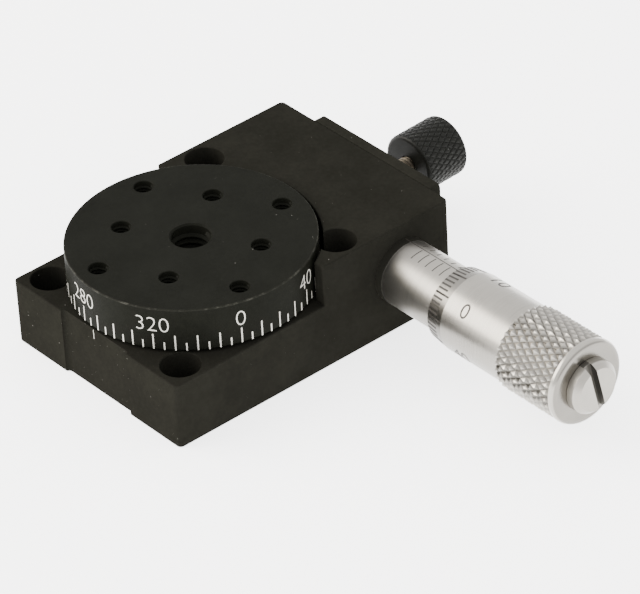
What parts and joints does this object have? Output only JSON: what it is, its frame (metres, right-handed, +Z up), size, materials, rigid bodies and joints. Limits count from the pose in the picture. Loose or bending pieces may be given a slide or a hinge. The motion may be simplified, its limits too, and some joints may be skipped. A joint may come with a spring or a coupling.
{
  "type": "micrometer rotation stage",
  "caption": "Small rotation stage with a graduated round table on a stepped black base, turned finely by a side micrometer and locked by a knurled clamp knob.",
  "frame": {"origin": "on the table's axis at the base's underside", "axes": "+Z up along the table's axis; +X towards the clamp knob and the end plate; the micrometer points along -Y"},
  "size_m": [0.047, 0.0527, 0.0124],
  "materials": {
    "block_anodised": "satin black anodised",
    "plate_anodised": "satin black anodised",
    "table_anodised": "satin black anodised with white graduations",
    "satin_chrome": "satin chrome with black graduations",
    "thimble_chrome": "satin chrome, diamond knurled",
    "bearing_steel": "ground",
    "polished_steel": "polished",
    "spring_steel": "drawn wire",
    "arm_steel": "milled",
    "shank_steel": "dull, rolled thread",
    "knob_black": "blackened, diamond knurled",
    "black_oxide": "black oxide",
    "brass": "turned"
  },
  "bodies": {
    "base": {"housing": "block_anodised", "end_plate": "plate_anodised", "end_plate_screws": "black_oxide", "bearing_outer_ring": "bearing_steel", "bearing_retainer": "black_oxide", "micrometer_sleeve": "satin_chrome", "adjusting_nut": "satin_chrome", "sleeve_set_screw": "black_oxide", "spring_plug": "black_oxide", "return_spring": "spring_steel", "arm_washer": "brass"},
    "bearing_train": {"bearing_cage": "brass", "bearing_balls": "polished_steel"},
    "arm": {"tangent_arm": "arm_steel", "anvil_ball": "polished_steel"},
    "table": {"rotary_table": "table_anodised", "bearing_inner_ring": "bearing_steel", "hub_nut": "black_oxide"},
    "spindle_body": {"spindle": "polished_steel"},
    "thimble_body": {"thimble": "thimble_chrome", "thimble_cap": "thimble_chrome"},
    "plunger_body": {"spring_plunger": "brass"},
    "clamp_pin_body": {"clamp_pin": "brass"},
    "clamp_screw_body": {"clamp_screw": "shank_steel", "clamp_knob": "knob_black"}
  },
  "joints": [
    {"name": "spindle_feed", "type": "slide", "parent": "base", "child": "spindle_body", "axis": [0, 1, 0], "range_m": [-0.00197, 0.0008]},
    {"name": "thimble_spin", "type": "hinge", "parent": "spindle_body", "child": "thimble_body", "pos_m": [0.01594, -0.03, 0.00672], "axis": [0, 1, 0], "range_deg": [-1420, 580]},
    {"name": "fine_turn", "type": "hinge", "parent": "base", "child": "arm", "pos_m": [0, 0, 0.006], "axis": [0, 0, 1], "range_deg": [-7.11, 2.91]},
    {"name": "plunger_travel", "type": "slide", "parent": "base", "child": "plunger_body", "axis": [0, 1, 0], "range_m": [-0.00198, 0.00081], "deforming": ["return_spring"]},
    {"name": "coarse_turn", "type": "hinge", "parent": "arm", "child": "table", "pos_m": [0, 0, 0.01], "axis": [0, 0, 1], "continuous": true},
    {"name": "cage_turn", "type": "hinge", "parent": "base", "child": "bearing_train", "pos_m": [0, 0, 0.0022], "axis": [0, 0, 1], "continuous": true},
    {"name": "clamp_pin_slide", "type": "slide", "parent": "arm", "child": "clamp_pin_body", "axis": [0.9993, 0.0366, 0], "range_m": [0, 0.0004]},
    {"name": "clamp_turn", "type": "hinge", "parent": "clamp_pin_body", "child": "clamp_screw_body", "pos_m": [0.02998, 0.0011, 0.0063], "axis": [0.9993, 0.0366, 0], "range_deg": [0, 360]}
  ],
  "couplings": [
    {"joint": "thimble_spin", "follows": "spindle_feed", "rad_per_m": 12566},
    {"joint": "fine_turn", "follows": "spindle_feed", "rad_per_m": 62.814},
    {"joint": "plunger_travel", "follows": "spindle_feed", "ratio": 1},
    {"joint": "cage_turn", "follows": "coarse_turn", "ratio": 0.42},
    {"joint": "clamp_turn", "follows": "clamp_pin_slide", "rad_per_m": 15708}
  ]
}
